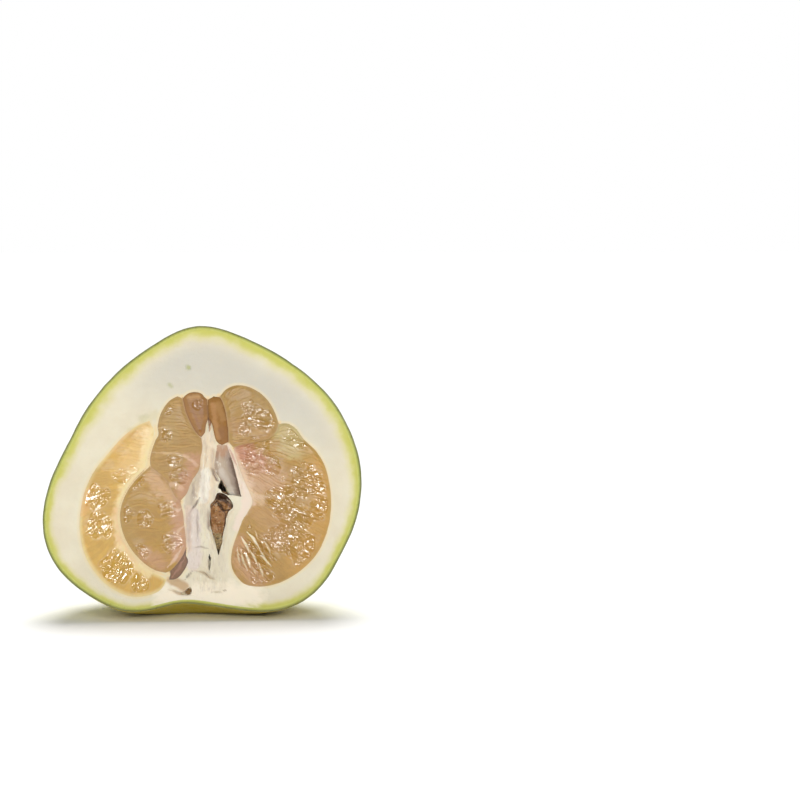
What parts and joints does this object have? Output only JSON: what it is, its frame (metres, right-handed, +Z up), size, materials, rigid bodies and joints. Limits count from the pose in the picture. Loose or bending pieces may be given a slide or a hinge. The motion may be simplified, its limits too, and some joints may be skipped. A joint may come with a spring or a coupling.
{
  "type": "pomelo half",
  "caption": "Pear-shaped citrus fruit cut in half from stem end to blossom end, with thick white pith, juicy segments and an open core, standing on its base.",
  "frame": {"origin": "on the surface the half rests on, under the middle of its bounding box", "axes": "+X to the right across the cut face, +Y into the fruit away from the cut face, +Z up"},
  "size_m": [0.1452, 0.0806, 0.1331],
  "materials": {
    "peel": "satin, finely pitted",
    "pith": "matt, spongy",
    "pulp": "wet, translucent",
    "pulp_pale": "wet, translucent",
    "pulp_dark": "wet, translucent",
    "pulp_pink": "wet, translucent",
    "dried_tissue": "matt, crumpled"
  },
  "bodies": {
    "root": {"skin": "peel", "pith": "pith", "segment_left_outer": "pulp_pale", "segment_left_upper": "pulp", "segment_left_lower": "pulp", "segment_top_left": "pulp_dark", "segment_top_right": "pulp_dark", "segment_right_upper": "pulp", "segment_right": "pulp", "segment_left_sliver": "pulp_pink", "core_tissue": "dried_tissue"}
  },
  "joints": []
}
